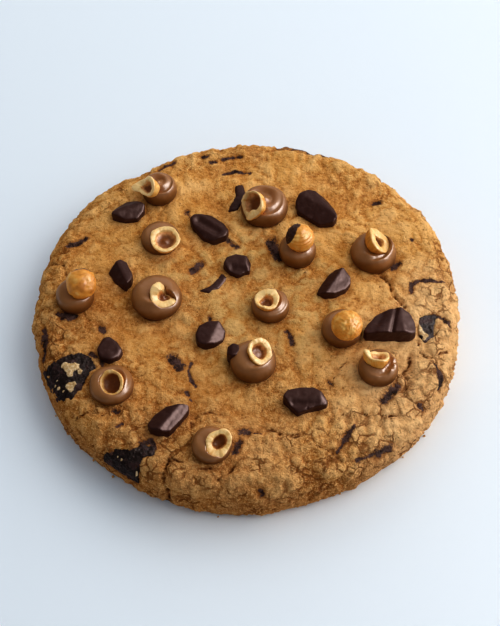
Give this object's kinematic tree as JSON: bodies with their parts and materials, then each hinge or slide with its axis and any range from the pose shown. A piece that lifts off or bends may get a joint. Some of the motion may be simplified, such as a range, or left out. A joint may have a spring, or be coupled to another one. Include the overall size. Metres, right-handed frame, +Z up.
{
  "type": "giant chocolate chip cookie",
  "caption": "Thick round baked cookie with dark chocolate chunks on and in the dough, and piped dollops of chocolate-hazelnut spread that each carry a roasted hazelnut.",
  "frame": {"origin": "on the flat base, under the middle of the cookie's outline", "axes": "+Z up through the cookie's top, -Y towards the side that faces the viewer, +X to the viewer's right"},
  "size_m": [0.1994, 0.1994, 0.0462],
  "materials": {
    "baked_dough": "matt baked crust, golden brown, finely pitted",
    "chocolate_spread": "smooth milk-brown spread with a soft gloss",
    "roasted_hazelnut": "dry roasted kernel, golden outside and cream where it split",
    "dark_chocolate": "chopped dark chocolate with a satin face",
    "baked_chocolate": "baked dark chocolate, rough and dusted with crumbs"
  },
  "bodies": {
    "root": {"cookie": "baked_dough", "spread_dollop_01": "chocolate_spread", "spread_dollop_02": "chocolate_spread", "spread_dollop_03": "chocolate_spread", "spread_dollop_04": "chocolate_spread", "spread_dollop_05": "chocolate_spread", "spread_dollop_06": "chocolate_spread", "spread_dollop_07": "chocolate_spread", "spread_dollop_08": "chocolate_spread", "spread_dollop_09": "chocolate_spread", "spread_dollop_10": "chocolate_spread", "spread_dollop_11": "chocolate_spread", "spread_dollop_12": "chocolate_spread", "spread_dollop_13": "chocolate_spread", "hazelnut_01": "roasted_hazelnut", "hazelnut_02": "roasted_hazelnut", "hazelnut_03": "roasted_hazelnut", "hazelnut_04": "roasted_hazelnut", "hazelnut_05": "roasted_hazelnut", "hazelnut_06": "roasted_hazelnut", "hazelnut_07": "roasted_hazelnut", "hazelnut_08": "roasted_hazelnut", "hazelnut_09": "roasted_hazelnut", "hazelnut_10": "roasted_hazelnut", "hazelnut_11": "roasted_hazelnut", "hazelnut_12": "roasted_hazelnut", "hazelnut_13": "roasted_hazelnut", "chocolate_chunk_01": "dark_chocolate", "chocolate_chunk_02": "dark_chocolate", "chocolate_chunk_03": "dark_chocolate", "chocolate_chunk_04": "dark_chocolate", "chocolate_chunk_05": "dark_chocolate", "chocolate_chunk_06": "dark_chocolate", "chocolate_chunk_07": "dark_chocolate", "chocolate_chunk_08": "dark_chocolate", "chocolate_chunk_09": "dark_chocolate", "chocolate_chunk_10": "dark_chocolate", "chocolate_chunk_11": "dark_chocolate", "chocolate_chip": "dark_chocolate", "baked_in_chunk_1": "baked_chocolate", "baked_in_chunk_2": "baked_chocolate", "baked_in_chunk_3": "baked_chocolate", "baked_in_chunk_4": "baked_chocolate", "baked_in_chunk_5": "baked_chocolate"}
  },
  "joints": []
}
